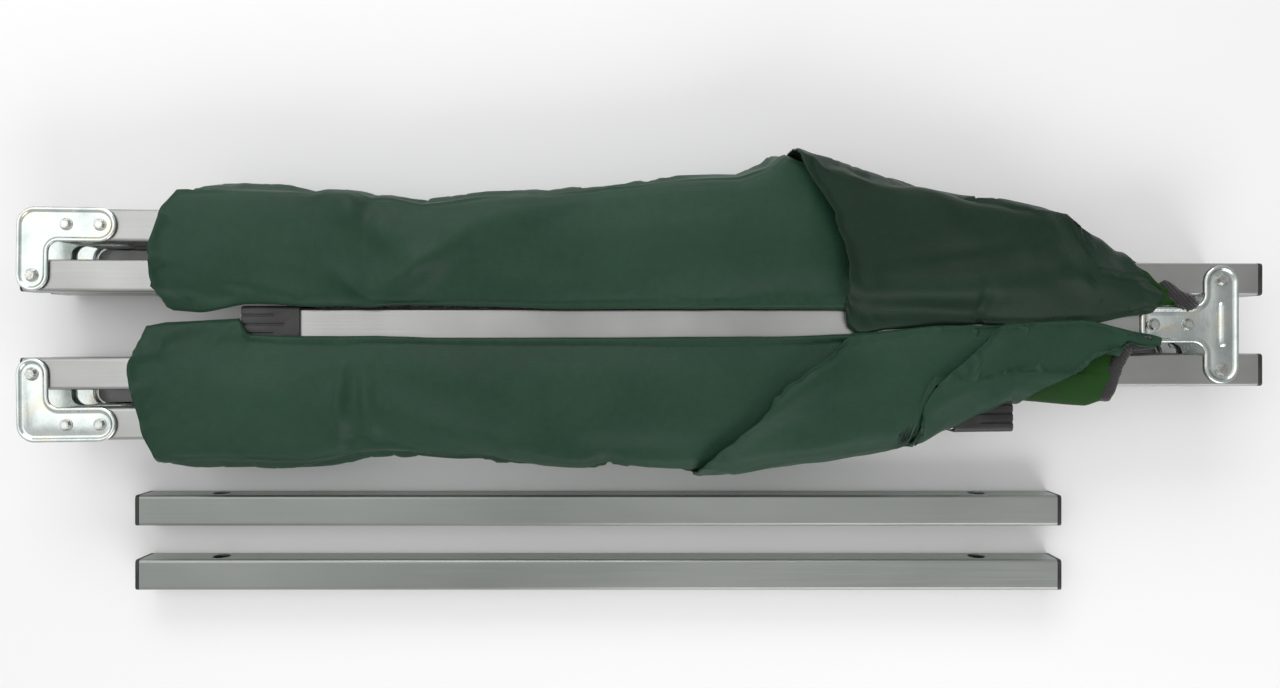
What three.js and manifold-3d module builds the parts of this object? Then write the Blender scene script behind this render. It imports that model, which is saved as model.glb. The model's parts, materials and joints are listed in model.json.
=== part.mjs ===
// A folding camp cot, folded flat for carrying, with its two loose end bars laid beside it.
// Two identical side frames lie one on the other. Each has a middle leg held by a T bracket, two rail
// halves that fold against that leg, and two end legs that swing round the rails' outer ends on L brackets.
// Millimetres, +Z up. The bundle lies along X, half A is on the +Y side of the middle legs, half B on -Y.
import * as THREE from "three";
import { mergeVertices } from "three/addons/utils/BufferGeometryUtils.js";
import Module from "manifold-3d";

const wasm = await Module();
wasm.setup();

// Driving dimensions
const TUBE = 25; // square tube, outside
const WALL = 1.4;
const TUBE_CORNER = 2.5;
const GAP = 0.3; // between pieces that touch on the real cot
const PLATE = 1.5; // bracket plate
const SET_RIVET_R = 2.4;
const HINGE_RIVET_R = 2.9;
const HOLE_EXTRA = 0.4;
const HEAD_R = 5.2;
const SET_HEAD = { wide: HEAD_R * 0.9, narrow: HEAD_R * 0.65, outer: 2, inner: 1.2 };
const HINGE_HEAD_TOP = HEAD_R * 0.7;
const TEE_X = 448.3; // line of the rail hinges on the T brackets
const COT_Y = 39; // centre line of the folded frames
const TEE_PIVOT_Y = 35;
const RAIL_PIVOTS = 915; // T hinge to L hinge, along a rail half
const SPLAY = 0.0033; // rail halves open towards their outer ends, radians
const RAIL_INNER_END = 32.4; // from the T hinge to the face of the rail half's inner cap
const LEG_OFFSET = 39.5; // L hinge to the end leg's centre line
const TOE = 0.0093; // end legs lean in towards the rails, radians
const LEG_TOP = 14; // from the hinge line to the top end of a leg tube
const LEG_REACH = 754; // from the hinge line to the sole of the foot
const CROSSING = 380; // from the hinge line to the leg pair's cross link
const FOOT = { width: 29, length: 45, sole: 7, bore: 25.6, corner: 3.5, groove: 7 };
const CAP = { flange: 3, insert: 12, clearance: 0.3 };
const PEG = { radius: 5.5, length: 5, reach: 14, tubeEnd: 8.5, flange: 1.5, insert: 4 };
const BAR = { tube: 749, x: -33, hole: 7, holeX: 313, y: [-151, -203.5] };
const PLATE_IN = TUBE / 2 + GAP;
const PLATE_OUT = PLATE_IN + PLATE;
const HEAD_IN = PLATE_OUT + GAP;
const OUTER_REACH = HEAD_IN + 2.5; // tube centre to the outer rivet heads
const INNER_REACH = HEAD_IN + 1.5; // tube centre to the inner rivet heads
const BACK_Z = OUTER_REACH;
const FRONT_Z = BACK_Z + 2 * INNER_REACH + 1;
const MID_Z = (BACK_Z + FRONT_Z) / 2;
const CANVAS = { wall: 3, floor: 0.4, floorWall: 1.4, under: FRONT_Z + FOOT.width / 2 + 0.9, inner: 17.5 };
const LINK = { ear: 7, pin: 3, pinReach: 19, pinHead: 4.5, eye: 3.35, rivet: 2.3, hole: 2.7 };
const ROUND = 8; // sides of a rivet
const PEG_SIDES = 12; // sides of a peg and of its hole
const SUNK = 0.5; // how far one solid runs into another that it is joined to

const finish = (color, roughness, metalness) =>
  new THREE.MeshStandardMaterial({ color, roughness, metalness });
const aluminium = finish(0xa9aca8, 0.35, 1);
const zincPlate = finish(0xc9d2cf, 0.3, 1);
const blackPlastic = finish(0x1b1b1d, 0.5, 0);
const greenCanvas = finish(0x23412f, 0.6, 0);

// --- closed three.js geometry to a solid and back ---
function solid(geometry) {
  const bare = geometry.clone();
  bare.deleteAttribute("normal");
  bare.deleteAttribute("uv");
  const merged = mergeVertices(bare, 1e-4);
  const vertProperties = new Float32Array(merged.attributes.position.array);
  const triVerts = new Uint32Array(merged.index.array);
  return new wasm.Manifold(new wasm.Mesh({ numProp: 3, vertProperties, triVerts }));
}

function geometryOf(manifold) {
  const mesh = manifold.getMesh();
  const geometry = new THREE.BufferGeometry();
  geometry.setAttribute("position", new THREE.BufferAttribute(new Float32Array(mesh.vertProperties), 3));
  geometry.setIndex(new THREE.BufferAttribute(new Uint32Array(mesh.triVerts), 1));
  const facets = geometry.toNonIndexed();
  facets.computeVertexNormals();
  return facets;
}

function addMesh(group, name, shape, material) {
  const mesh = new THREE.Mesh(shape.isBufferGeometry ? shape : geometryOf(shape), material);
  mesh.name = name;
  group.add(mesh);
  return mesh;
}

// --- basic solids ---
const box = (x0, x1, y0, y1, z0, z1) =>
  solid(
    new THREE.BoxGeometry(x1 - x0, y1 - y0, z1 - z0).translate((x0 + x1) / 2, (y0 + y1) / 2, (z0 + z1) / 2),
  );

function rod(radius, z0, z1, x = 0, y = 0, tipRadius = radius) {
  const cylinder = new THREE.CylinderGeometry(tipRadius, radius, z1 - z0, ROUND);
  return solid(cylinder.rotateX(Math.PI / 2).translate(x, y, (z0 + z1) / 2));
}

// Rod along Y at the cross link's place along a leg.
const yRod = (radius, y0, y1, z) =>
  solid(new THREE.CylinderGeometry(radius, radius, y1 - y0, ROUND).translate(CROSSING, (y0 + y1) / 2, z));

function squareOutline(Path, width, corner) {
  const h = width / 2;
  const c = h - corner;
  const outline = new Path();
  outline.moveTo(h, -c);
  outline.lineTo(h, c);
  outline.absarc(c, c, corner, 0, Math.PI / 2);
  outline.lineTo(-c, h);
  outline.absarc(-c, c, corner, Math.PI / 2, Math.PI);
  outline.lineTo(-h, -c);
  outline.absarc(-c, -c, corner, Math.PI, 1.5 * Math.PI);
  outline.lineTo(c, -h);
  outline.absarc(c, -c, corner, 1.5 * Math.PI, 2 * Math.PI);
  outline.closePath();
  return outline;
}

const prism = (shape, depth, curveSegments = 3) =>
  new THREE.ExtrudeGeometry(shape, { depth, bevelEnabled: false, curveSegments });

// Square tube from x0 to x1 on the X axis, at height y.
function tube(x0, x1, y = 0) {
  const shape = squareOutline(THREE.Shape, TUBE, TUBE_CORNER);
  shape.holes.push(squareOutline(THREE.Path, TUBE - 2 * WALL, TUBE_CORNER - WALL));
  return solid(prism(shape, x1 - x0, 2).rotateY(Math.PI / 2).translate(x0, y, 0));
}

const hole = (radius, x, y = 0) => rod(radius + HOLE_EXTRA, -TUBE, TUBE, x, y);

// --- bracket plates, with the hinge at the origin or on the T's arm ---
function tOutline() {
  const w = 13.2; // half the arm's width
  const tip = TEE_PIVOT_Y - 2.7; // centre of the arm's round end
  const stem = 14;
  const stemEnd = -62;
  const fillet = 9;
  const corner = 8;
  const shape = new THREE.Shape();
  shape.moveTo(w, -tip);
  shape.lineTo(w, tip);
  shape.absarc(0, tip, w, 0, Math.PI);
  shape.lineTo(-w, stem + fillet);
  shape.absarc(-w - fillet, stem + fillet, fillet, 0, -Math.PI / 2, true);
  shape.lineTo(stemEnd + corner, stem);
  shape.absarc(stemEnd + corner, stem - corner, corner, Math.PI / 2, Math.PI);
  shape.lineTo(stemEnd, corner - stem);
  shape.absarc(stemEnd + corner, corner - stem, corner, Math.PI, 1.5 * Math.PI);
  shape.lineTo(-w - fillet, -stem);
  shape.absarc(-w - fillet, -stem - fillet, fillet, Math.PI / 2, 0, true);
  shape.lineTo(-w, -tip);
  shape.absarc(0, -tip, w, Math.PI, 2 * Math.PI);
  return shape;
}

function lOutline() {
  const w = 12.3; // half the pivot arm's width
  const arm = 13.4; // half the leg arm's width
  const armEnd = 51; // centre of the leg arm's round end
  const inner = LEG_OFFSET - arm;
  const fillet = 8;
  const corner = 14;
  const shape = new THREE.Shape();
  shape.moveTo(w, 0);
  shape.lineTo(w, inner - fillet);
  shape.absarc(w + fillet, inner - fillet, fillet, Math.PI, Math.PI / 2, true);
  shape.lineTo(armEnd, inner);
  shape.absarc(armEnd, LEG_OFFSET, arm, -Math.PI / 2, Math.PI / 2);
  shape.lineTo(corner - w, LEG_OFFSET + arm);
  shape.absarc(corner - w, LEG_OFFSET + arm - corner, corner, Math.PI / 2, Math.PI);
  shape.lineTo(-w, 0);
  shape.absarc(0, 0, w, Math.PI, 2 * Math.PI);
  return shape;
}

const TEE = {
  outline: tOutline(),
  hinges: [[0, TEE_PIVOT_Y], [0, -TEE_PIVOT_Y]],
  rivets: [[-26.5, 0], [-52.5, 0]],
};
const ELL = { outline: lOutline(), hinges: [[0, 0]], rivets: [[26, LEG_OFFSET], [52, LEG_OFFSET]] };

// A bracket's set rivets as a leg sees them, on its own centre line.
const legRivets = ({ rivets }) => ({ rivets: rivets.map(([x]) => [Math.abs(x), 0]) });

const plate = (outline, z) => solid(prism(outline, PLATE, 4).translate(0, 0, z));

// The outer plate is drilled. The inner plate carries the set rivets that go through leg and outer plate.
function bracket(group, name, { outline, hinges, rivets }) {
  let outer = plate(outline, PLATE_IN);
  let inner = plate(outline, -PLATE_OUT);
  for (const [x, y] of hinges) {
    outer = outer.subtract(hole(HINGE_RIVET_R, x, y));
    inner = inner.subtract(hole(HINGE_RIVET_R, x, y));
  }
  for (const [x, y] of rivets) {
    outer = outer.subtract(hole(SET_RIVET_R, x, y));
    inner = inner.add(rod(SET_RIVET_R, SUNK - PLATE_OUT, HEAD_IN + SUNK, x, y));
    inner = inner.add(rod(SET_HEAD.wide, HEAD_IN, HEAD_IN + SET_HEAD.outer, x, y, SET_HEAD.narrow));
    const back = -PLATE_OUT - SET_HEAD.inner;
    inner = inner.add(rod(SET_HEAD.narrow, back, 0.2 - PLATE_OUT, x, y, SET_HEAD.wide));
  }
  addMesh(group, name + "_outer_plate", outer, zincPlate);
  addMesh(group, name + "_inner_plate", inner, zincPlate);
}

// Rivet that a rail half turns on, through both plates and the tube between them.
function hingeRivet(group, name, x, y) {
  const shank = rod(HINGE_RIVET_R, -HEAD_IN - SUNK, HEAD_IN + SUNK, x, y);
  const outerHead = rod(HEAD_R, HEAD_IN, OUTER_REACH, x, y, HINGE_HEAD_TOP);
  const innerHead = rod(HINGE_HEAD_TOP, -INNER_REACH, -HEAD_IN, x, y, HEAD_R);
  addMesh(group, name, shank.add(outerHead).add(innerHead), aluminium);
}

// --- plastic ends ---
function squarePlug(x0, x1, clearance) {
  const width = TUBE - 2 * WALL - 2 * clearance;
  const shape = squareOutline(THREE.Shape, width, 1);
  return solid(prism(shape, x1 - x0, 2).rotateY(Math.PI / 2).translate(x0, 0, 0));
}

function squareFlange(x0, x1) {
  const shape = squareOutline(THREE.Shape, TUBE, TUBE_CORNER);
  return solid(prism(shape, x1 - x0, 2).rotateY(Math.PI / 2).translate(x0, 0, 0));
}

// A cap whose flange is clear of the tube end at `end`, pushed in along direction -1 or +1.
function tubeCap(end, into) {
  const outer = end - into * (CAP.flange + GAP);
  const flange = squareFlange(Math.min(outer, end - into * GAP), Math.max(outer, end - into * GAP));
  const deep = end + into * CAP.insert;
  const root = end - into * (GAP + 1);
  return flange.add(squarePlug(Math.min(root, deep), Math.max(root, deep), CAP.clearance));
}

// The peg that goes into an end bar's hole stands on the rail half's outer end.
function railPeg() {
  const end = -RAIL_PIVOTS - PEG.tubeEnd;
  const peg = new THREE.CylinderGeometry(PEG.radius, PEG.radius, PEG.length, PEG_SIDES).rotateZ(Math.PI / 2);
  const tip = solid(peg).translate([-RAIL_PIVOTS - PEG.reach + PEG.length / 2, 0, 0]);
  const flange = squareFlange(end - GAP - PEG.flange, end - GAP);
  return flange.add(squarePlug(end - 1, end + PEG.insert, CAP.clearance)).add(tip);
}

// Ribbed sleeve over the end of a leg that runs along +X, closed at the sole.
function foot(legEnd) {
  const start = LEG_REACH - FOOT.length;
  const shape = squareOutline(THREE.Shape, FOOT.width, FOOT.corner);
  let sleeve = solid(prism(shape, FOOT.length, 2).rotateY(Math.PI / 2).translate(start, 0, 0));
  const half = FOOT.bore / 2;
  sleeve = sleeve.subtract(box(start - 1, legEnd + GAP, -half, half, -half, half));
  for (const [y, length] of [[-FOOT.groove, 25], [0, 33], [FOOT.groove, 25]]) {
    for (const z of [-FOOT.width / 2, FOOT.width / 2]) {
      sleeve = sleeve.subtract(box(LEG_REACH - length, LEG_REACH + 1, y - 1, y + 1, z - 1, z + 1));
    }
  }
  return sleeve;
}

// --- tubes ---
function railTube() {
  const blank = tube(-RAIL_PIVOTS - PEG.tubeEnd, RAIL_INNER_END - CAP.flange - GAP);
  return blank.subtract(hole(HINGE_RIVET_R, -RAIL_PIVOTS)).subtract(hole(HINGE_RIVET_R, 0));
}

const LEG_END = LEG_REACH - FOOT.sole - GAP;

// Leg along +X from a hinge line at x = 0.
function legTube(rivets) {
  let leg = tube(LEG_TOP, LEG_END);
  for (const [x] of rivets) {
    leg = leg.subtract(hole(SET_RIVET_R, x));
  }
  return leg.subtract(yRod(LINK.hole, -TUBE, TUBE, 0));
}

// --- cross link between the two side frames' legs ---
// A rounded ear beside the leg, from the leg's middle to the link pin.
function ear(y0, y1, z0, z1) {
  const shape = new THREE.Shape();
  shape.absarc(0, z1, LINK.ear, 0, Math.PI);
  shape.absarc(0, z0, LINK.ear, Math.PI, 2 * Math.PI);
  const slab = prism(shape, y1 - y0, 4).rotateX(Math.PI / 2);
  return solid(slab.translate(CROSSING, y1, 0));
}

// The front pair of ears carries the pin, and the back pair turns on it.
function crossLink(group, name) {
  const outer = PLATE_OUT + GAP;
  const rim = outer + PLATE;
  let front = yRod(LINK.rivet, -PLATE_OUT, PLATE_OUT, FRONT_Z);
  front = front.add(yRod(LINK.pin, -LINK.pinReach, LINK.pinReach, MID_Z));
  let back = yRod(LINK.rivet, -rim, rim, BACK_Z);
  for (const side of [-1, 1]) {
    const reach = (a, b) => (side > 0 ? [a, b] : [-b, -a]);
    front = front.add(ear(...reach(PLATE_IN, PLATE_OUT), MID_Z, FRONT_Z));
    back = back.add(ear(...reach(outer, rim), BACK_Z, MID_Z));
    front = front.add(yRod(LINK.pinHead, ...reach(rim + GAP, rim + 2), MID_Z));
  }
  back = back.subtract(yRod(LINK.eye, -rim - 0.1, rim + 0.1, MID_Z));
  addMesh(group, name + "_pin_bracket", front, zincPlate);
  addMesh(group, name + "_eye_bracket", back, zincPlate);
}

// --- canvas rolls: hollow shells round each half, open towards the middle leg ---
// Reach of the roll from the cot's centre line, at places along X.
const ROLL_A = [
  [-362, 97], [-349, 106.6], [-234, 106.6], [-166, 96], [-113, 102], [-23, 110], [75, 115.6],
  [98, 124], [112, 138], [152, 123], [196, 110], [272, 96], [328, 85], [352, 68],
];
const ROLL_B = [
  [-370, 100], [-362, 108.6], [-294, 109.5], [-219, 103], [-143, 106], [-45, 113], [8, 115],
  [60, 114], [121, 106], [174, 99], [212, 92], [228, 88],
];
// Flat ends of the rolls, lying on the rails only.
const TONGUE_A = [[348, 62], [366, 54], [384, 44]];
const TONGUE_B = [[222, 82], [258, 68], [300, 62], [347, 56]];

// Joins closed rings of points, one ring for each place along X, and closes both ends.
function loft(rings) {
  const count = rings[0].length;
  const positions = rings.flat(2);
  const index = [];
  const ringStart = (i) => i * count;
  for (let i = 0; i + 1 < rings.length; i++) {
    for (let j = 0; j < count; j++) {
      const next = (j + 1) % count;
      const [a, b] = [ringStart(i) + j, ringStart(i) + next];
      const [c, d] = [ringStart(i + 1) + j, ringStart(i + 1) + next];
      index.push(a, b, c, b, d, c);
    }
  }
  const flat = rings[0].map(([, y, z]) => new THREE.Vector2(y, z));
  const last = ringStart(rings.length - 1);
  for (const [a, b, c] of THREE.ShapeUtils.triangulateShape(flat, [])) {
    index.push(a, c, b, last + a, last + b, last + c);
  }
  const geometry = new THREE.BufferGeometry();
  geometry.setAttribute("position", new THREE.Float32BufferAttribute(positions, 3));
  geometry.setIndex(index);
  return solid(geometry);
}

// One C-shaped ring at x, counter-clockwise seen from +X: over the top, down the side, back along the floor.
function rollRing(x, reach) {
  const crown = 5 + (reach - 80) * 0.25;
  const top = CANVAS.under + CANVAS.wall;
  const side = reach - CANVAS.wall;
  const ring = [
    [CANVAS.inner, CANVAS.floor], [reach - 5, CANVAS.floor], [reach, 7], [reach, CANVAS.under - 2],
    [reach - 5, top + 1], [reach * 0.62, top + crown], [CANVAS.inner + 6, top + 1], [CANVAS.inner, top],
    [CANVAS.inner, CANVAS.under], [side - 3, CANVAS.under], [side, CANVAS.under - 3],
    [side, 6], [side - 3, CANVAS.floor + CANVAS.floorWall], [CANVAS.inner, CANVAS.floor + CANVAS.floorWall],
  ];
  return ring.map(([y, z]) => [x, y, z]);
}

function tongueRing(x, reach) {
  const top = CANVAS.under + CANVAS.wall;
  const ring = [[CANVAS.inner, CANVAS.under], [reach, CANVAS.under], [reach, top], [CANVAS.inner, top]];
  return ring.map(([y, z]) => [x, y, z]);
}

function canvasRoll(roll, tongue) {
  const shell = loft(roll.map(([x, reach]) => rollRing(x, reach)));
  return shell.add(loft(tongue.map(([x, reach]) => tongueRing(x, reach))));
}

// --- assembly ---
const cot = new THREE.Group();

function placed(parent, x, y, z, turn = 0) {
  const group = new THREE.Group();
  group.position.set(x, y, z);
  group.rotation.z = turn;
  parent.add(group);
  return group;
}

// The front and back side frames face each other, so the back one is mirrored.
function layers(parent) {
  const front = placed(parent, 0, 0, FRONT_Z);
  const back = placed(parent, 0, 0, BACK_Z);
  back.scale.z = -1;
  return [["front", front], ["back", back]];
}

function addLeg(parent, name, bracketKind) {
  for (const [layer, group] of layers(parent)) {
    addMesh(group, `${name}_${layer}`, legTube(bracketKind.rivets), aluminium);
    addMesh(group, `${name}_foot_${layer}`, foot(LEG_END), blackPlastic);
  }
  crossLink(parent, `${name}_cross`);
}

const rail = railTube();
const innerCap = tubeCap(RAIL_INNER_END - CAP.flange - GAP, -1);
const peg = railPeg();

function addHalf(name, side, roll, tongue) {
  const half = placed(cot, TEE_X, COT_Y, 0);
  half.scale.y = side;
  const railGroup = placed(half, 0, TEE_PIVOT_Y, 0, -SPLAY);
  for (const [layer, group] of layers(railGroup)) {
    addMesh(group, `rail_${name}_${layer}`, rail, aluminium);
    addMesh(group, `rail_${name}_cap_${layer}`, innerCap, blackPlastic);
    addMesh(group, `rail_${name}_peg_${layer}`, peg, blackPlastic);
  }
  const legGroup = placed(railGroup, -RAIL_PIVOTS, 0, 0, -TOE);
  for (const [layer, group] of layers(legGroup)) {
    bracket(group, `corner_${name}_${layer}`, ELL);
    hingeRivet(group, `corner_${name}_hinge_${layer}`, 0, 0);
  }
  addLeg(placed(legGroup, 0, LEG_OFFSET, 0), `leg_${name}`, legRivets(ELL));
  const canvas = placed(cot, 0, COT_Y, 0);
  canvas.scale.y = side;
  addMesh(canvas, `deck_roll_${name}`, canvasRoll(roll, tongue), greenCanvas);
}

// The middle legs run towards -X, so their group is mirrored in X.
function addCenter() {
  const center = placed(cot, TEE_X, COT_Y, 0);
  for (const [layer, group] of layers(center)) {
    bracket(group, `tee_${layer}`, TEE);
    hingeRivet(group, `tee_hinge_a_${layer}`, 0, TEE_PIVOT_Y);
    hingeRivet(group, `tee_hinge_b_${layer}`, 0, -TEE_PIVOT_Y);
  }
  const legs = placed(center, 0, 0, 0);
  legs.scale.x = -1;
  addLeg(legs, "leg_mid", legRivets(TEE));
}

// Loose bars that hold the two sides apart, drilled on the +Y face for the rails' pegs.
function addEndBar(name, y) {
  const group = placed(cot, BAR.x, COT_Y + y, TUBE / 2);
  let bar = tube(-BAR.tube / 2, BAR.tube / 2);
  for (const x of [-BAR.holeX, BAR.holeX]) {
    const drill = new THREE.CylinderGeometry(BAR.hole, BAR.hole, TUBE, PEG_SIDES);
    bar = bar.subtract(solid(drill.translate(x, TUBE / 2, 0)));
  }
  addMesh(group, name, bar, aluminium);
  addMesh(group, name + "_cap_left", tubeCap(-BAR.tube / 2, 1), blackPlastic);
  addMesh(group, name + "_cap_right", tubeCap(BAR.tube / 2, -1), blackPlastic);
}

addHalf("a", 1, ROLL_A, TONGUE_A);
addHalf("b", -1, ROLL_B, TONGUE_B);
addCenter();
addEndBar("end_bar_1", BAR.y[0]);
addEndBar("end_bar_2", BAR.y[1]);

export default cot;
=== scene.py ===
import json
import math

import bmesh
import bpy
from mathutils import Matrix, Vector, noise


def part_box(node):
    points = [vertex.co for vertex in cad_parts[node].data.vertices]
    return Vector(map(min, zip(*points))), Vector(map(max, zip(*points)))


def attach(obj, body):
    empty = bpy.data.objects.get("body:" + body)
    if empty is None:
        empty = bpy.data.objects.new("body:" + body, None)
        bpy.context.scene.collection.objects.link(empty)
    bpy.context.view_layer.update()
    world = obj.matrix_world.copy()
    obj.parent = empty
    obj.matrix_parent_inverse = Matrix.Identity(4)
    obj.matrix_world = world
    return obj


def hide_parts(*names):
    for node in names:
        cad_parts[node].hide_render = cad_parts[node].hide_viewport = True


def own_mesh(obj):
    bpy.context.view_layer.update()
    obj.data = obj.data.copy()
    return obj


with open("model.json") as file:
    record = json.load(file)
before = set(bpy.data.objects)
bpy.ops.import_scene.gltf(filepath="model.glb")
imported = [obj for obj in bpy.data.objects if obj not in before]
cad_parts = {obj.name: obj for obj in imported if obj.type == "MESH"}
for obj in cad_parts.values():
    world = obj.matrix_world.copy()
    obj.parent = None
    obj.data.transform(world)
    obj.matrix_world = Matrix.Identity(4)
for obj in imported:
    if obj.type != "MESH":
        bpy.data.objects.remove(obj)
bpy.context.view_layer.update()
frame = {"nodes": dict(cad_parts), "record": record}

JOINTS = {j["name"]: j for j in frame["record"]["behaviour"]["joints"]}
NODES = frame["nodes"]
MM = 0.001


# ---------------------------------------------------------------- places taken from the frame
def pivot(joint):
    return Vector(JOINTS[joint]["pos_m"])


def node_middle(name):
    low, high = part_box(name)
    return (Vector(low) + Vector(high)) / 2


TEE_A, TEE_B = pivot("rail_a_fold"), pivot("center_fold")
CORNER_A, CORNER_B = pivot("legs_a_fold"), pivot("rail_b_fold")
COT_Y = (TEE_A.y + TEE_B.y) / 2
FRONT_Z = node_middle("leg_mid_front").z
BACK_Z = node_middle("leg_mid_back").z
TUBE = 25  # outside of the square tubes, mm
GAP = 0.3  # between a tube and a bracket plate, mm
PLATE_IN = TUBE / 2 + GAP
PLATE_THICKNESS = 1.5
LEAN = 0.0126  # how far the end legs and their brackets turn in, radians


# ---------------------------------------------------------------- materials
class Nodes:
    """Short names for building one node material."""

    def __init__(self, name, **constants):
        self.material = bpy.data.materials.new(name)
        self.material.use_nodes = True
        self.tree = self.material.node_tree
        self.shader = self.tree.nodes["Principled BSDF"]
        self.where = self.add("ShaderNodeTexCoord").outputs["Object"]
        for key, value in constants.items():
            self.shader.inputs[key.replace("_", " ")].default_value = value

    def add(self, kind, **settings):
        node = self.tree.nodes.new(kind)
        for key, value in settings.items():
            setattr(node, key, value)
        return node

    def link(self, start, end):
        self.tree.links.new(start, end)

    def scaled(self, x, y, z):
        mapping = self.add("ShaderNodeMapping")
        mapping.inputs["Scale"].default_value = (x, y, z)
        self.link(self.where, mapping.inputs["Vector"])
        return mapping.outputs["Vector"]

    def noise(self, scale, detail=4.0, stretch=(1, 1, 1)):
        node = self.add("ShaderNodeTexNoise")
        node.inputs["Scale"].default_value = scale
        node.inputs["Detail"].default_value = detail
        self.link(self.scaled(*stretch), node.inputs["Vector"])
        return node.outputs["Fac"]

    def ramp(self, value, *stops):
        node = self.add("ShaderNodeValToRGB")
        ramp = node.color_ramp
        while len(ramp.elements) < len(stops):
            ramp.elements.new(0.5)
        for element, (position, colour) in zip(ramp.elements, stops):
            element.position = position
            element.color = (*colour, 1) if len(colour) == 3 else colour
        self.link(value, node.inputs["Fac"])
        return node.outputs["Color"]

    def math(self, operation, first, second):
        node = self.add("ShaderNodeMath", operation=operation)
        for socket, value in zip(node.inputs, (first, second)):
            if isinstance(value, (int, float)):
                socket.default_value = value
            else:
                self.link(value, socket)
        return node.outputs[0]

    def colour(self, output):
        self.link(output, self.shader.inputs["Base Color"])

    def roughness(self, value, low, high):
        node = self.add("ShaderNodeMapRange")
        node.inputs["To Min"].default_value = low
        node.inputs["To Max"].default_value = high
        self.link(value, node.inputs["Value"])
        self.link(node.outputs[0], self.shader.inputs["Roughness"])

    def bump(self, height, distance, strength=1.0):
        node = self.add("ShaderNodeBump")
        node.inputs["Distance"].default_value = distance
        node.inputs["Strength"].default_value = strength
        self.link(height, node.inputs["Height"])
        self.link(node.outputs["Normal"], self.shader.inputs["Normal"])


def aluminium():
    m = Nodes("tube_aluminium", Metallic=1.0)
    drawn = m.noise(900, 5, (0.02, 1, 1))
    cloudy = m.noise(14, 3)
    m.colour(m.ramp(cloudy, (0.3, (0.37, 0.375, 0.365)), (0.7, (0.47, 0.475, 0.465))))
    m.roughness(m.math("ADD", drawn, m.math("MULTIPLY", cloudy, 0.5)), 0.26, 0.44)
    m.bump(drawn, 0.00006)
    return m.material


def bar_aluminium():
    m = Nodes("bar_aluminium", Metallic=1.0)
    drawn = m.noise(900, 5, (0.015, 1, 1))
    cloudy = m.noise(9, 3, (0.4, 1, 1))
    m.colour(m.ramp(cloudy, (0.3, (0.30, 0.32, 0.30)), (0.7, (0.40, 0.42, 0.40))))
    m.roughness(m.math("ADD", drawn, m.math("MULTIPLY", cloudy, 0.5)), 0.28, 0.46)
    m.bump(drawn, 0.00006)
    return m.material


def zinc():
    m = Nodes("zinc_steel", Metallic=1.0)
    blotch = m.noise(60, 6)
    rub = m.noise(600, 5, (1, 0.3, 1))
    blue, pale, straw = (0.52, 0.58, 0.56), (0.68, 0.73, 0.71), (0.72, 0.70, 0.60)
    m.colour(m.ramp(blotch, (0.3, blue), (0.52, pale), (0.72, straw)))
    m.roughness(m.math("MULTIPLY", m.math("ADD", blotch, rub), 0.5), 0.16, 0.36)
    m.bump(m.math("ADD", m.math("MULTIPLY", blotch, 0.6), m.math("MULTIPLY", rub, 0.4)), 0.00012)
    return m.material


def rivet_steel():
    m = Nodes("rivet_steel", Metallic=1.0)
    worn = m.noise(500, 4)
    m.colour(m.ramp(worn, (0.35, (0.42, 0.42, 0.39)), (0.65, (0.66, 0.67, 0.64))))
    m.roughness(worn, 0.2, 0.42)
    m.bump(worn, 0.0001)
    return m.material


def black_plastic():
    m = Nodes("black_plastic")
    grain = m.noise(1800, 3)
    dust = m.noise(45, 5)
    m.colour(m.ramp(dust, (0.35, (0.012, 0.012, 0.013)), (0.75, (0.045, 0.045, 0.047))))
    m.roughness(dust, 0.38, 0.62)
    m.bump(grain, 0.00008)
    return m.material


WEAVE_TO_SCALE = 6.28  # a weave of 1600 makes threads about 1.2 mm apart


def cloth(name, dark, light, roughness, weave=1600):
    """Tightly woven polyester with a smooth coating: threads along and across, slow cloudiness."""
    m = Nodes(name, Sheen_Weight=0.06, Sheen_Roughness=0.4, Specular_IOR_Level=0.22)
    warp = m.add("ShaderNodeTexWave", bands_direction="X")
    weft = m.add("ShaderNodeTexWave", bands_direction="Y")
    for wave in (warp, weft):
        wave.inputs["Scale"].default_value = weave / WEAVE_TO_SCALE
        wave.inputs["Distortion"].default_value = 0.6
        m.link(m.where, wave.inputs["Vector"])
    threads = m.math("MULTIPLY", warp.outputs["Fac"], weft.outputs["Fac"])
    cloudy = m.noise(9, 4)
    rubbed = m.noise(160, 5)
    mixed = m.math("ADD", m.math("MULTIPLY", cloudy, 0.75), m.math("MULTIPLY", rubbed, 0.25))
    m.colour(m.ramp(mixed, (0.32, dark), (0.68, light)))
    m.roughness(mixed, roughness - 0.07, roughness + 0.08)
    m.bump(m.math("ADD", m.math("MULTIPLY", threads, 0.7), m.math("MULTIPLY", rubbed, 0.5)), 0.00016)
    return m.material


def tape():
    """Ribbed woven binding tape."""
    m = Nodes("binding_tape", Sheen_Weight=0.3, Sheen_Roughness=0.5)
    rib = m.add("ShaderNodeTexWave", bands_direction="DIAGONAL")
    rib.inputs["Scale"].default_value = 190
    rib.inputs["Distortion"].default_value = 1.2
    m.link(m.where, rib.inputs["Vector"])
    fuzz = m.noise(900, 4)
    m.colour(m.ramp(fuzz, (0.3, (0.006, 0.005, 0.006)), (0.75, (0.024, 0.02, 0.023))))
    m.roughness(fuzz, 0.75, 0.95)
    m.bump(m.math("ADD", rib.outputs["Fac"], m.math("MULTIPLY", fuzz, 0.5)), 0.0004)
    return m.material


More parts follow.
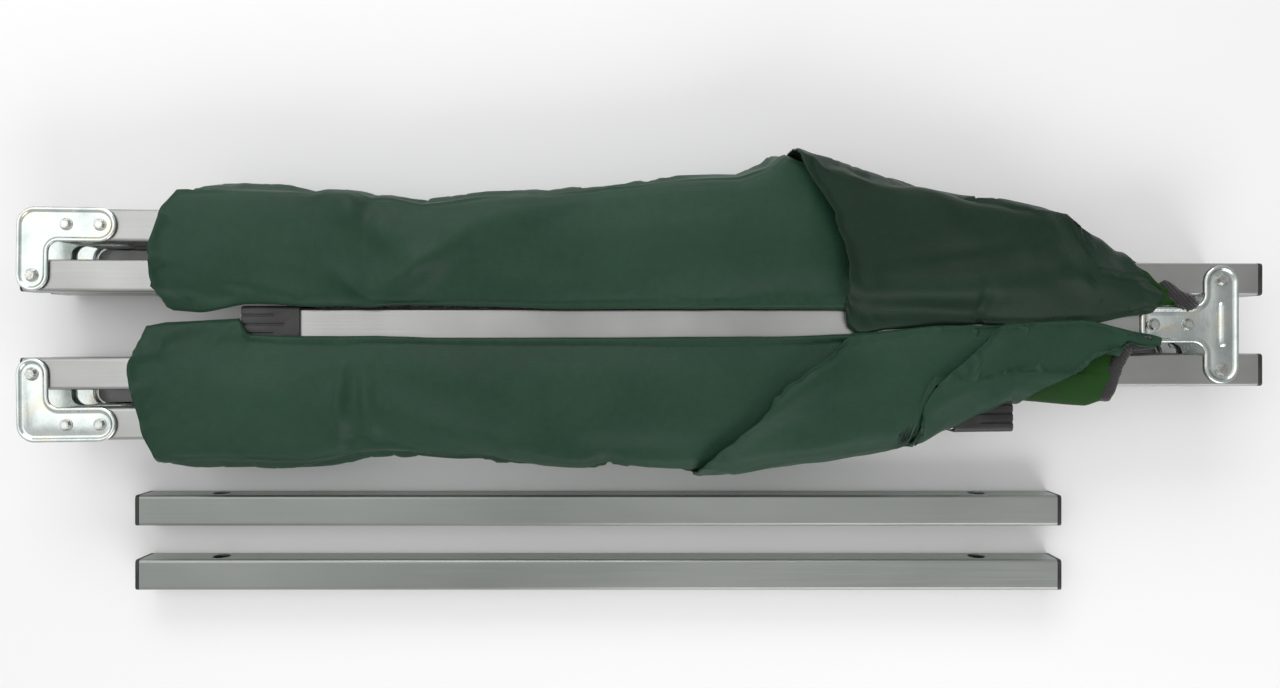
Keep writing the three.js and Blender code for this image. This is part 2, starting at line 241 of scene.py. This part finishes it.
ALUMINIUM, BAR_ALUMINIUM, ZINC = aluminium(), bar_aluminium(), zinc()
RIVET, PLASTIC, TAPE = rivet_steel(), black_plastic(), tape()
GREEN = cloth("green_canvas", (0.0100, 0.0370, 0.0200), (0.0180, 0.0560, 0.0320), 0.45)
# painted shade: the same green canvas at about 0.55 times the brightness, for flap A, the cloth as it looks
# in shadow
GREEN_PAINTED_SHADE = cloth("green_canvas_painted_shade", (0.0060, 0.0205, 0.0110), (0.0105, 0.0310, 0.0175), 0.48)
LIME = cloth("lime_underside", (0.0040, 0.0260, 0.0020), (0.0080, 0.0480, 0.0030), 0.7, weave=1100)


def paint(obj, material):
    obj.data.materials.clear()
    obj.data.materials.append(material)
    return obj


for node_name, node in NODES.items():
    if "end_bar" in node_name and "cap" not in node_name:
        paint(node, BAR_ALUMINIUM)
    elif "plate" in node_name or "bracket" in node_name:
        paint(node, ZINC)
    elif "hinge" in node_name:
        paint(node, RIVET)
    elif any(word in node_name for word in ("cap", "peg", "foot")):
        paint(node, PLASTIC)
    elif "deck" not in node_name:
        paint(node, ALUMINIUM)


# ---------------------------------------------------------------- mesh helpers
def piece(name, mesh_builder, material, body):
    """An object made by a function that fills a bmesh in metres, riding on a body."""
    mesh = bpy.data.meshes.new(name)
    bm = bmesh.new()
    mesh_builder(bm)
    bm.normal_update()
    bm.to_mesh(mesh)
    bm.free()
    obj = bpy.data.objects.new(name, mesh)
    bpy.context.collection.objects.link(obj)
    paint(obj, material)
    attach(obj, body)
    return obj


def modifier(obj, kind, **settings):
    added = obj.modifiers.new(kind.title(), kind)
    for key, value in settings.items():
        setattr(added, key, value)


def shade_smooth(obj, angle=math.radians(35)):
    with bpy.context.temp_override(object=obj, active_object=obj, selected_editable_objects=[obj]):
        bpy.ops.object.shade_smooth_by_angle(angle=angle)


def smooth_all(obj):
    obj.data.polygons.foreach_set("use_smooth", [True] * len(obj.data.polygons))


def lathe(bm, profile, place, sides=32):
    """Turns (radius, height) points about the local Z axis, in millimetres."""
    rings = []
    for radius, height in profile:
        ring = []
        for i in range(sides):
            turn = 2 * math.pi * i / sides
            point = Vector((radius * math.cos(turn), radius * math.sin(turn), height)) * MM
            ring.append(bm.verts.new(place @ point))
        rings.append(ring)
    for low, high in zip(rings, rings[1:]):
        for i in range(sides):
            j = (i + 1) % sides
            bm.faces.new((low[i], low[j], high[j], high[i]))
    bm.faces.new(list(reversed(rings[0])))
    bm.faces.new(rings[-1])


def soften(node_name, width, material, body):
    """A piece with the CAD part's own shape, its sharp edges rounded over as moulded or pressed ones are."""
    bm = bmesh.new()
    bm.from_mesh(NODES[node_name].data)
    bmesh.ops.remove_doubles(bm, verts=bm.verts, dist=1e-6)
    bmesh.ops.dissolve_limit(bm, angle_limit=math.radians(1), verts=bm.verts, edges=bm.edges)
    mesh = bpy.data.meshes.new(node_name + "_moulded")
    bm.to_mesh(mesh)
    bm.free()
    obj = bpy.data.objects.new(node_name + "_moulded", mesh)
    bpy.context.collection.objects.link(obj)
    paint(obj, material)
    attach(obj, body)
    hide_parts(node_name)
    modifier(obj, "BEVEL", width=width, segments=2, limit_method="ANGLE", angle_limit=math.radians(30))
    shade_smooth(obj, math.radians(40))


FOOT_EDGE, CAP_EDGE, STEEL_EDGE = 0.6 * MM, 0.4 * MM, 0.3 * MM

for body_name, node_names in frame["record"]["behaviour"]["bodies"].items():
    for node_name in node_names:
        if "foot" in node_name:
            soften(node_name, FOOT_EDGE, PLASTIC, body_name)
        elif "cap" in node_name or "peg" in node_name:
            soften(node_name, CAP_EDGE, PLASTIC, body_name)
        elif "inner_plate" in node_name or "bracket" in node_name:
            soften(node_name, STEEL_EDGE, ZINC, body_name)


# ---------------------------------------------------------------- pressed bracket plates, in millimetres
PIVOT_Y = (TEE_A.y - TEE_B.y) / 2 / MM  # a T hinge's distance from the centre line
LEG_OFFSET = 39.5  # an end leg's centre line from its hinge
TEE_RIVETS = (-26.5, -52.5)
ELL_RIVETS = (26, 52)
HINGE_HEAD = {"radius": 5.2, "height": 2.9}
SET_HEAD = {"radius": 4.9, "height": 2.6}
HEAD_BASE = PLATE_IN + PLATE_THICKNESS - 0.25  # on the plate's middle, which is lower than its rim
BLANK_RISE, BLANK_THICKNESS = 0.7, 0.8  # a pressed plate before its rim is rolled
PRESSING = ((0.9, 0.75), (1.5, 0.0), (1.1, -1.1), (0.9, -0.3), (1.0, 0.0), (1.6, 0.35))  # (inset, rise)
RIB = {"length": 36, "width": 8.5, "height": 2.6, "x": 1.5, "z": 13.3}


def arc(cx, cy, radius, start, end, steps=10):
    """Points on an arc, in degrees."""
    turns = [math.radians(start + (end - start) * i / steps) for i in range(steps + 1)]
    return [(cx + radius * math.cos(t), cy + radius * math.sin(t)) for t in turns]


def tee_outline():
    """The T plate, origin midway between its hinges, stem along -X."""
    half_arm, half_stem, fillet, corner, stem_end = 13.2, 14.0, 9.0, 8.0, -62.0
    tip = PIVOT_Y - 2.7
    upper = arc(0, tip, half_arm, 0, 180, 16)
    upper += arc(-half_arm - fillet, half_stem + fillet, fillet, 0, -90)
    upper += arc(stem_end + corner, half_stem - corner, corner, 90, 180)
    return upper + [(x, -y) for x, y in reversed(upper)]


def ell_outline():
    """The L plate, origin at its hinge, the leg's arm along +X at the leg's offset."""
    half_arm, half_leg, arm_end, fillet, corner = 12.3, 13.4, 51.0, 8.0, 14.0
    inner = LEG_OFFSET - half_leg
    points = arc(half_arm + fillet, inner - fillet, fillet, 180, 90)
    points += arc(arm_end, LEG_OFFSET, half_leg, -90, 90, 16)
    points += arc(corner - half_arm, LEG_OFFSET + half_leg - corner, corner, 90, 180, 12)
    points += arc(0, 0, half_arm, 180, 360, 16)
    return points


def pressed_plate(outline, place):
    """A plate with a rolled rim, a sunk channel inside it, and a raised panel along the middle."""

    def build(bm):
        base = (PLATE_IN + BLANK_RISE) * MM
        face = bm.faces.new([bm.verts.new((x * MM, y * MM, base)) for x, y in outline])
        bm.normal_update()
        if face.normal.z < 0:
            face.normal_flip()
        raised = bmesh.ops.extrude_face_region(bm, geom=[face])
        bm.faces.remove(face)
        top = [f for f in raised["geom"] if isinstance(f, bmesh.types.BMFace)][0]
        bmesh.ops.translate(bm, verts=list(top.verts), vec=(0, 0, BLANK_THICKNESS * MM))
        for inset, rise in PRESSING:
            bmesh.ops.inset_region(
                bm, faces=[top], thickness=inset * MM, depth=rise * MM, use_even_offset=True)
        bmesh.ops.transform(bm, matrix=place, verts=bm.verts)
        if place.determinant() < 0:
            bmesh.ops.reverse_faces(bm, faces=bm.faces)

    return build


def ridge(length, width, height, place):
    """A long rounded rib, along local Y, in millimetres. It narrows and drops at both ends."""
    steps_along, steps_across = 16, 8

    def build(bm):
        rows = []
        for step in range(steps_along + 1):
            y = -1 + 2 * step / steps_along
            end = math.sqrt(max(0.0, 1 - abs(y) ** 9))
            row = []
            for across in range(steps_across + 1):
                x = -1 + 2 * across / steps_across
                z = height * (1 - x**4) * end
                point = Vector((x * width / 2 * (0.55 + 0.45 * end), y * length / 2, z))
                row.append(bm.verts.new(place @ (point * MM)))
            rows.append(row)
        for low, high in zip(rows, rows[1:]):
            for i in range(steps_across):
                bm.faces.new((low[i], low[i + 1], high[i + 1], high[i]))

    return build


def rivet_profile(radius, height):
    """A washer, then a formed head with a ring and a dished middle."""
    return (
        (radius * 0.9, 0.0),
        (radius, 0.15),
        (radius, 0.45),
        (radius * 0.8, 0.7),
        (radius * 0.76, height * 0.75),
        (radius * 0.68, height),
        (radius * 0.45, height),
        (radius * 0.36, height * 0.72),
        (radius * 0.12, height * 0.8),
    )


def layer_matrix(origin, layer, turn=0.0, mirror_y=False):
    """From a bracket's own axes to the object's. The back frame faces down, half B is mirrored."""
    z = FRONT_Z if layer == "front" else BACK_Z
    flip = Matrix.Diagonal((1, -1 if mirror_y else 1, 1 if layer == "front" else -1, 1))
    return Matrix.Translation((origin.x, origin.y, z)) @ flip @ Matrix.Rotation(turn, 4, "Z")


def add_rivet(name, place, x, y, head, body):
    spot = place @ Matrix.Translation((x * MM, y * MM, HEAD_BASE * MM))

    def build(bm):
        lathe(bm, rivet_profile(**head), spot)
        if spot.determinant() < 0:
            bmesh.ops.reverse_faces(bm, faces=bm.faces)

    shade_smooth(piece(name, build, RIVET, body))


def add_bracket(name, place, outline, node, body):
    plate = piece(name, pressed_plate(outline, place), ZINC, body)
    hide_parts(node)
    modifier(plate, "BEVEL", width=0.00035, segments=2, limit_method="ANGLE", angle_limit=math.radians(25))
    shade_smooth(plate, math.radians(50))


for layer in ("front", "back"):
    tee_place = layer_matrix(Vector((TEE_A.x, COT_Y, 0)), layer)
    add_bracket(f"tee_pressing_{layer}", tee_place, tee_outline(), f"tee_{layer}_outer_plate", "center")
    rib_place = tee_place @ Matrix.Translation((RIB["x"] * MM, 0, RIB["z"] * MM))
    rib_shape = ridge(RIB["length"], RIB["width"], RIB["height"], rib_place)
    rib = piece(f"tee_rib_{layer}", rib_shape, ZINC, "center")
    shade_smooth(rib, math.radians(60))
    for label, y in (("a", PIVOT_Y), ("b", -PIVOT_Y)):
        add_rivet(f"tee_head_{label}_{layer}", tee_place, 0, y, HINGE_HEAD, "center")
    for index, x in enumerate(TEE_RIVETS):
        add_rivet(f"tee_set_rivet_{index}_{layer}", tee_place, x, 0, SET_HEAD, "center")
    for half, corner, mirrored in (("a", CORNER_A, False), ("b", CORNER_B, True)):
        place = layer_matrix(corner, layer, -LEAN, mirrored)
        body = f"legs_{half}"
        name = f"corner_pressing_{half}_{layer}"
        add_bracket(name, place, ell_outline(), f"corner_{half}_{layer}_outer_plate", body)
        add_rivet(f"corner_head_{half}_{layer}", place, 0, 0, HINGE_HEAD, body)
        for index, x in enumerate(ELL_RIVETS):
            add_rivet(f"corner_set_rivet_{half}_{index}_{layer}", place, x, LEG_OFFSET, SET_HEAD, body)


# ---------------------------------------------------------------- canvas
def curve_at(points, x):
    """Value through (x, value) points, half of it a straight line and half eased at each point."""
    if x <= points[0][0]:
        return points[0][1]
    for (x0, y0), (x1, y1) in zip(points, points[1:]):
        if x <= x1:
            t = (x - x0) / (x1 - x0)
            t = t * 0.5 + t * t * (3 - 2 * t) * 0.5
            return y0 + (y1 - y0) * t
    return points[-1][1]


SPLINE_STEPS = 8  # straight steps between two of a curve's points


def smooth_path(points, count):
    """Evenly spaced points on a Catmull-Rom curve."""
    spots = [Vector(p) for p in points]
    dense = []
    for i in range(len(spots) - 1):
        before, after = spots[max(i - 1, 0)], spots[min(i + 2, len(spots) - 1)]
        a, b = spots[i], spots[i + 1]
        square = 2 * before - 5 * a + 4 * b - after
        cube = 3 * a - before - 3 * b + after
        for step in range(SPLINE_STEPS):
            t = step / SPLINE_STEPS
            dense.append(0.5 * ((2 * a) + (b - before) * t + square * t * t + cube * t**3))
    dense.append(spots[-1])
    lengths = [0.0]
    for a, b in zip(dense, dense[1:]):
        lengths.append(lengths[-1] + (b - a).length)
    result, j = [], 0
    for i in range(count):
        goal = lengths[-1] * i / (count - 1)
        while j < len(dense) - 2 and lengths[j + 1] < goal:
            j += 1
        span = max(lengths[j + 1] - lengths[j], 1e-9)
        result.append(dense[j].lerp(dense[j + 1], (goal - lengths[j]) / span))
    return result


ROLL_FLOOR = 1.4  # a sheet's lowest line
FRAME_TOP = 69  # where the canvas lies on the front frame
NOWHERE = (900, 901)  # a place past every sheet's end
FOLD_DEPTH = 1.6  # a crease is pressed this many times its stated depth
RISE_WIDTH = 60  # a narrower sheet has less than its full crown
FREE_SHARE = 0.35  # the first share of a section, where folds and unevenness grow from nothing


class Wrap:
    """A sheet of canvas wrapped round one half of the folded frame. Sizes in mm, y from the centre line.

    reach and inner are its far and near edges, crown its rise, each as (x, value) points. left and right are
    its ends, as (y, x) points. Between the two places in opens, the part under the frame is let go.
    """

    def __init__(self, side, reach, inner, left, right, crown, low=ROLL_FLOOR, opens=NOWHERE, creases=(),
                 lift=0.0):
        self.side = side
        self.reach, self.inner = reach, inner
        self.left, self.right = left, right
        self.crown, self.low, self.lift = crown, low, lift
        self.opens = opens
        self.creases = creases
        self.kept = {}

    def rib(self, x, count):
        """The cross-section at x, as (y, z) points, from two kept sections at whole millimetres."""
        whole = math.floor(x)
        for place in (whole, whole + 1):
            if (place, count) not in self.kept:
                self.kept[place, count] = self.new_rib(place, count)
        share = x - whole
        return [a.lerp(b, share) for a, b in zip(self.kept[whole, count], self.kept[whole + 1, count])]

    def new_rib(self, x, count):
        reach = max(curve_at(self.reach, x), curve_at(self.inner, x) + 6)
        inner = curve_at(self.inner, x)
        width = reach - inner
        top = FRAME_TOP + curve_at(self.crown, x) * min(1, width / RISE_WIDTH)
        low = self.low
        points = [
            (inner + 0.1 * width, low), (inner + 0.55 * width, low), (reach - min(9, 0.2 * width), low + 0.3),
            (reach - min(2, 0.05 * width), low + 7), (reach, 30), (reach - 0.5, 56),
            (reach - min(5, 0.1 * width), top - 6), (reach - min(16, 0.28 * width), top - 1),
            (inner + 0.58 * width, top + 1.2), (inner + 0.32 * width, top),
            (inner + 0.15 * width, top * 0.35 + 46), (inner + 0.05 * width, FRAME_TOP), (inner, 66),
        ]
        begin = 0.0
        start, end = self.opens
        if x > start:
            begin = 0.60 * min(1, (x - start) / (end - start))
        return partial_path(points, count, begin)

    def height(self, x, y):
        """Folds pressed into the sheet, and slow unevenness."""
        total = 0.0
        for (x0, y0), (x1, y1), width, depth in self.creases:
            along = Vector((x1 - x0, y1 - y0))
            offset = Vector((x - x0, y - y0))
            t = max(0.0, min(1.0, offset.dot(along) / along.length_squared))
            gap = (offset - along * t).length / width
            fade = 0.35 + 0.65 * math.sin(math.pi * min(max(t, 0.04), 0.96))
            total += FOLD_DEPTH * depth * math.exp(-gap * gap) * fade
        place = Vector((x * 0.011, y * 0.02, self.side * 3.1 + self.crown[0][1]))
        total += 1.6 * noise.noise(place) + 0.6 * noise.noise(place * 3.3)
        return total

    def grid(self, along, around):
        """Points of the sheet: one row for each place between its two ends."""
        rows = []
        for i in range(along):
            u = i / (along - 1)
            middle = self.left[len(self.left) // 2][1] * (1 - u) + self.right[len(self.right) // 2][1] * u
            row = []
            for j, (guess, _) in enumerate(self.rib(middle, around)):
                x = curve_at(self.left, guess) * (1 - u) + curve_at(self.right, guess) * u
                y, z = self.rib(x, around)[j]
                row.append(Vector((x, y, z)))
            rows.append(row)
        return self.pressed(rows)

    def pressed(self, rows):
        """Moves each point along its normal by the folds' height."""
        result = []
        for i, row in enumerate(rows):
            out = []
            for j, point in enumerate(row):
                before, after = rows[max(i - 1, 0)][j], rows[min(i + 1, len(rows) - 1)][j]
                down, up = row[max(j - 1, 0)], row[min(j + 1, len(row) - 1)]
                normal = (up - down).cross(after - before)
                normal.normalize()
                share = min(1.0, j / (FREE_SHARE * len(row)))
                moved = point + normal * (self.height(point.x, point.y) * share + self.lift)
                moved.z = max(moved.z, self.low)
                out.append(moved)
            result.append(out)
        return result


def partial_path(points, count, begin):
    """Evenly spaced points on a smooth path, leaving out its first share."""
    path = smooth_path(points, 4 * count)
    last = len(path) - 1
    result = []
    for i in range(count):
        spot = last * (begin + (1 - begin) * i / (count - 1))
        low = min(int(spot), last - 1)
        result.append(path[low].lerp(path[low + 1], spot - low))
    return result


def in_metres(wrap, rows):
    middle = Vector((0, COT_Y, 0))
    return [[Vector((p.x, wrap.side * p.y, p.z)) * MM + middle for p in row] for row in rows]


def sheet_mesh(bm, rows, side):
    verts = [[bm.verts.new(p) for p in row] for row in rows]
    for low, high in zip(verts, verts[1:]):
        for j in range(len(low) - 1):
            quad = (low[j], low[j + 1], high[j + 1], high[j])
            bm.faces.new(quad if side > 0 else tuple(reversed(quad)))


SETTLE_FLOOR = 65.5  # just above the feet: a point that starts higher doesn't sink past it
SETTLE_FRAMES = 16
SETTLE_GROWTH = 0.035  # how much too big the sheet is
HELD_SHARE, EDGE_HOLD = 0.45, 0.6  # the share of a section that stays put, and how firmly the ends do
CLOTH = {
    "quality": 5, "mass": 0.2, "tension_stiffness": 25, "compression_stiffness": 25, "shear_stiffness": 10,
    "bending_stiffness": 0.6, "vertex_group_mass": "pins", "use_dynamic_mesh": False,
    "shrink_min": -SETTLE_GROWTH,
}


def settle(obj, around, cap):
    """A short cloth simulation: the sheet buckles into small folds. No point moves more than cap, in mm."""
    scene = bpy.context.scene
    start = [v.co.copy() for v in obj.data.vertices]
    pins = obj.vertex_groups.new(name="pins")
    count = len(start)
    along = count // around
    held = [v for v in range(count) if v % around < around * HELD_SHARE or v % around > around - 3]
    pins.add(held, 1.0, "REPLACE")
    edge = [v for v in range(count) if v // around in (0, along - 1)]
    pins.add(edge, EDGE_HOLD, "REPLACE")
    cloth_modifier = obj.modifiers.new("cloth", "CLOTH")
    for key, value in CLOTH.items():
        setattr(cloth_modifier.settings, key, value)
    cloth_modifier.settings.effector_weights.gravity = 0.25
    cloth_modifier.collision_settings.use_collision = False
    scene.frame_start = 1
    cloth_modifier.point_cache.frame_end = SETTLE_FRAMES + 1
    for number in range(1, SETTLE_FRAMES + 1):
        scene.frame_set(number)
    graph = bpy.context.evaluated_depsgraph_get()
    moved = [v.co.copy() for v in obj.evaluated_get(graph).data.vertices]
    obj.modifiers.remove(cloth_modifier)
    scene.frame_set(1)
    obj.vertex_groups.clear()
    limit = cap * MM
    for vertex, before, after in zip(obj.data.vertices, start, moved):
        step = after - before
        if step.length > limit:
            step = step.normalized() * limit
        target = before + step
        target.z = max(target.z, min(before.z, SETTLE_FLOOR * MM))
        vertex.co = target


def squash_canvas(obj):
    """Gives the sheet a mesh of its own; the roll is not flattened towards its rail as the frame opens."""
    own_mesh(obj)


def add_canvas(name, wrap, material, along, around=72, nodes=(), cloth_cap=4.5):
    """Makes one sheet, with around points in each of its rows, and gives back the rows."""
    body = "rail_a" if wrap.side > 0 else "rail_b"
    rows = in_metres(wrap, wrap.grid(along, around))
    obj = piece(name, lambda bm: sheet_mesh(bm, rows, wrap.side), material, body)
    if nodes:
        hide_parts(*nodes)
    settle(obj, around, cap=cloth_cap)
    modifier(obj, "SOLIDIFY", thickness=0.0009, offset=-1)
    smooth_all(obj)
    squash_canvas(obj)
    return rows


# Far and near edges of the sheets on each half.
REACH_A = [(-378, 98), (-360, 104), (-349, 107), (-234, 106.6), (-200, 105), (-166, 96), (-113, 102),
           (-75, 101), (-23, 110), (75, 115.6), (98, 124), (112, 137), (125, 131), (160, 115), (230, 106)]
INNER_A = [(-363, 11), (-335, 9.5), (-301, 16), (-30, 13.2), (152, 11)]
REACH_FLAP = [(105, 138), (113, 138), (152, 124), (196, 110), (272, 97), (328, 86), (352, 70), (369, 58),
              (381, 56), (392, 50), (404, 37), (427, 19)]
INNER_FLAP = [(150, 6), (169, -8), (190, -4), (263, -1), (327, -3), (345, 0), (381, 7), (400, 11), (427, 14)]
REACH_B = [(-385, 100), (-369, 108), (-294, 109), (-257, 110), (-219, 102.6), (-174, 103), (-143, 106),
           (-113, 104), (-72, 113), (-45, 114), (-26, 110), (8, 115), (60, 114), (121, 106), (174, 99),
           (212, 92), (236, 80), (262, 68), (284, 59), (347, 64), (360, 60), (372, 30)]
INNER_B = [(-378, 1), (-362, -2), (-306, -5), (-299, 7.5), (-259, 9), (-30, 10.4), (120, 9), (169, 7.4),
           (230, 2.5), (263, 2), (341, -1), (388, 9.7), (411, 15)]

# Each fold runs from one (x, y) place to another, with its width and depth.
CREASES_A = (
    ((-229, 41), (-204, 24), 9, 4.5), ((-204, 24), (-137, 60), 11, 6.0), ((-170, 60), (-60, 98), 16, 4.0),
    ((-237, 104), (-168, 52), 12, 5.5), ((-204, 106), (-206, 66), 9, -3.5), ((-300, 30), (-215, 12), 10, 3.5),
    ((-130, 30), (40, 20), 16, 2.5), ((-90, 60), (120, 74), 26, 2.0), ((-330, 70), (-320, 20), 22, 2.0),
)
CREASES_FLAP = (
    ((170, 40), (330, 60), 13, -4.5), ((180, 24), (340, 36), 16, 5.0), ((165, 12), (270, 6), 10, -3.0),
    ((200, 108), (250, 76), 18, 4.0), ((262, 30), (262, 4), 5, -2.5), ((300, 50), (392, 18), 10, 3.0),
)
CREASES_B = (
    ((-225, 36), (-228, 90), 5, 3.2), ((-208, 34), (-202, 92), 6, 3.2), ((-232, 88), (-180, 98), 8, -4.0),
    ((-330, 40), (-240, 60), 18, 2.6), ((-190, 60), (-100, 96), 13, 3.6), ((-100, 40), (60, 50), 20, 2.0),
    ((-60, 96), (60, 100), 12, -2.5), ((-150, 80), (-40, 108), 10, 3.0), ((-200, 20), (-120, 50), 14, 2.4),
)
CREASES_FOLD_B = (((150, 30), (60, 98), 8, 2.5), ((190, 40), (110, 90), 14, -2.0))
CREASES_TIP_B = (((280, 20), (215, 70), 9, 2.2), ((330, 14), (270, 40), 9, -2.0))
BACK_EDGE_A = [(9, -350), (12, -360), (30, -369), (60, -371), (88, -365), (104, -353), (107, -351)]
BACK_EDGE_B = [(-2, -376), (2, -378), (35, -386), (80, -378), (108, -368)]

base_a = Wrap(
    1, REACH_A, INNER_A, creases=CREASES_A,
    left=BACK_EDGE_A, right=[(0, 186), (60, 184), (140, 172)],
    crown=[(-380, 7), (-200, 8), (-100, 7), (60, 10), (130, 10), (165, 4), (186, 2)])
flap_a = Wrap(
    1, REACH_FLAP, INNER_FLAP, low=0.9, opens=(318, 345), creases=CREASES_FLAP,
    left=[(-8, 169), (11, 158), (49, 156), (83, 145), (118, 122), (139, 112)],
    right=[(6, 391), (15, 396), (22, 401), (30, 390), (45, 378), (57, 368)],
    crown=[(100, 16), (160, 15), (260, 11), (330, 7), (400, 2)])
lime_a = Wrap(
    1, REACH_FLAP, INNER_FLAP, low=0.9, opens=(200, 201), lift=-3.2,
    left=[(0, 378), (57, 352)],
    right=[(8, 410), (15, 424), (20, 424), (36, 403), (50, 391), (58, 379)],
    crown=[(330, 5), (400, 0)])
base_b = Wrap(
    -1, REACH_B, INNER_B, opens=(204, 226), creases=CREASES_B,
    left=BACK_EDGE_B, right=[(0, 262), (50, 240), (70, 232), (110, 214)],
    crown=[(-380, 8), (-200, 7), (0, 9), (200, 6), (260, 2)])
fold_b = Wrap(
    -1, REACH_B, INNER_B, opens=(196, 222), lift=1.6, creases=CREASES_FOLD_B,
    left=[(4, 172), (12, 160), (60, 100), (112, 40)],
    right=[(0, 300), (50, 276), (70, 262), (110, 240)],
    crown=[(30, 10), (200, 8), (300, 3)])
tip_b = Wrap(
    -1, REACH_B, INNER_B, opens=(192, 214), lift=3.0, creases=CREASES_TIP_B,
    left=[(4, 279), (14, 267), (58, 216), (99, 168)],
    right=[(6, 398), (12, 396), (16, 376), (20, 356), (29.5, 341), (57.7, 293)],
    crown=[(160, 10), (250, 7), (400, 2)])
lime_b = Wrap(
    -1, REACH_B, INNER_B, opens=(200, 201), lift=-0.4,
    left=[(8, 320), (58, 268)],
    right=[(12, 392), (18, 372), (24, 371), (36, 364), (52, 359), (62, 353)],
    crown=[(260, 3), (400, 0)])

add_canvas("canvas_a_roll", base_a, GREEN, 210, nodes=("deck_roll_a",))
# flap A is the green canvas with painted shade, darker than the roll under it
add_canvas("canvas_a_flap", flap_a, GREEN_PAINTED_SHADE, 120)
lime_rows_a = add_canvas("canvas_a_underside", lime_a, LIME, 40, around=40, cloth_cap=1.0)
add_canvas("canvas_b_roll", base_b, GREEN, 220, nodes=("deck_roll_b",))
add_canvas("canvas_b_fold", fold_b, GREEN, 90, cloth_cap=2.5)
add_canvas("canvas_b_tip", tip_b, GREEN, 110, cloth_cap=2.5)
lime_rows_b = add_canvas("canvas_b_underside", lime_b, LIME, 40, around=40, cloth_cap=1.0)

TAPE_SIDES, TAPE_HALF_WIDTH, TAPE_HALF_HEIGHT = 12, 5.2, 1.9
TAPE_UNEVENNESS = 0.16


def add_tape(name, edge, side):
    """Binding tape folded over an edge: a flattened band swept along it, a little uneven."""

    def build(bm):
        rings = []
        for i, point in enumerate(edge):
            along = (edge[min(i + 1, len(edge) - 1)] - edge[max(i - 1, 0)]).normalized()
            across = along.cross(Vector((0, 0, 1))).normalized()
            wobble = 1 + TAPE_UNEVENNESS * noise.noise(point * 160)
            ring = []
            for k in range(TAPE_SIDES):
                turn = 2 * math.pi * k / TAPE_SIDES
                flat = across * (TAPE_HALF_WIDTH * wobble * math.cos(turn))
                offset = flat + Vector((0, 0, TAPE_HALF_HEIGHT * wobble * math.sin(turn)))
                ring.append(bm.verts.new(point + offset * MM))
            rings.append(ring)
        for low, high in zip(rings, rings[1:]):
            for k in range(TAPE_SIDES):
                after = (k + 1) % TAPE_SIDES
                bm.faces.new((low[k], low[after], high[after], high[k]))
        bm.faces.new(list(reversed(rings[0])))
        bm.faces.new(rings[-1])

    obj = piece(name, build, TAPE, "rail_a" if side > 0 else "rail_b")
    smooth_all(obj)
    squash_canvas(obj)


add_tape("binding_a", lime_rows_a[-1], 1)
add_tape("binding_b", lime_rows_b[-1], -1)


# ---------------------------------------------------------------- studio
def add_camera():
    camera = bpy.data.cameras.new("camera")
    camera.lens = 23.8
    camera.sensor_width = 36
    camera.clip_start = 0.01
    obj = bpy.data.objects.new("camera", camera)
    obj.location = (0.001, COT_Y - 0.015, 0.715)
    bpy.context.collection.objects.link(obj)
    bpy.context.scene.camera = obj


def add_light(name, place, aim, size, power):
    light = bpy.data.lights.new(name, "AREA")
    light.shape = "RECTANGLE"
    light.size, light.size_y = size
    light.energy = power
    obj = bpy.data.objects.new(name, light)
    obj.location = place
    obj.rotation_euler = (Vector(aim) - Vector(place)).to_track_quat("-Z", "Y").to_euler()
    bpy.context.collection.objects.link(obj)


def add_floor():
    mesh = bpy.data.meshes.new("floor")
    size, level = 6, -0.0005
    corners = [(x * size, y * size, level) for x, y in ((-1, -1), (1, -1), (1, 1), (-1, 1))]
    mesh.from_pydata(corners, [], [(0, 1, 2, 3)])
    floor = bpy.data.objects.new("floor", mesh)
    bpy.context.collection.objects.link(floor)
    pale = Nodes("pale_floor")
    pale.shader.inputs["Base Color"].default_value = (0.9, 0.9, 0.9, 1)
    pale.shader.inputs["Roughness"].default_value = 0.9
    paint(floor, pale.material)


add_camera()
add_floor()
add_light("key_left", (-1.3, 0.5, 1.5), (0, 0, 0), (1.6, 1.6), 8)
add_light("top_soft", (0.1, 0.5, 2.2), (0, 0, 0), (2.6, 1.6), 5)
add_light("fill_front", (0.6, -1.6, 1.1), (0, 0, 0), (1.8, 0.8), 19)
add_light("fill_back", (-0.3, 1.9, 1.2), (0, 0, 0), (1.8, 0.8), 19)


def add_world():
    """A white room, brighter on the left."""
    world = bpy.data.worlds.new("studio")
    world.use_nodes = True
    tree = world.node_tree
    where = tree.nodes.new("ShaderNodeTexCoord")
    split = tree.nodes.new("ShaderNodeSeparateXYZ")
    level = tree.nodes.new("ShaderNodeMapRange")
    for socket, value in (("From Min", -0.7), ("From Max", 0.7), ("To Min", 0.6), ("To Max", 0.36)):
        level.inputs[socket].default_value = value
    tree.links.new(where.outputs["Generated"], split.inputs[0])
    tree.links.new(split.outputs["X"], level.inputs["Value"])
    tree.links.new(level.outputs[0], tree.nodes["Background"].inputs["Strength"])
    tree.nodes["Background"].inputs["Color"].default_value = (1, 1, 1, 1)
    bpy.context.scene.world = world


add_world()
bpy.context.scene.view_settings.view_transform = "Standard"
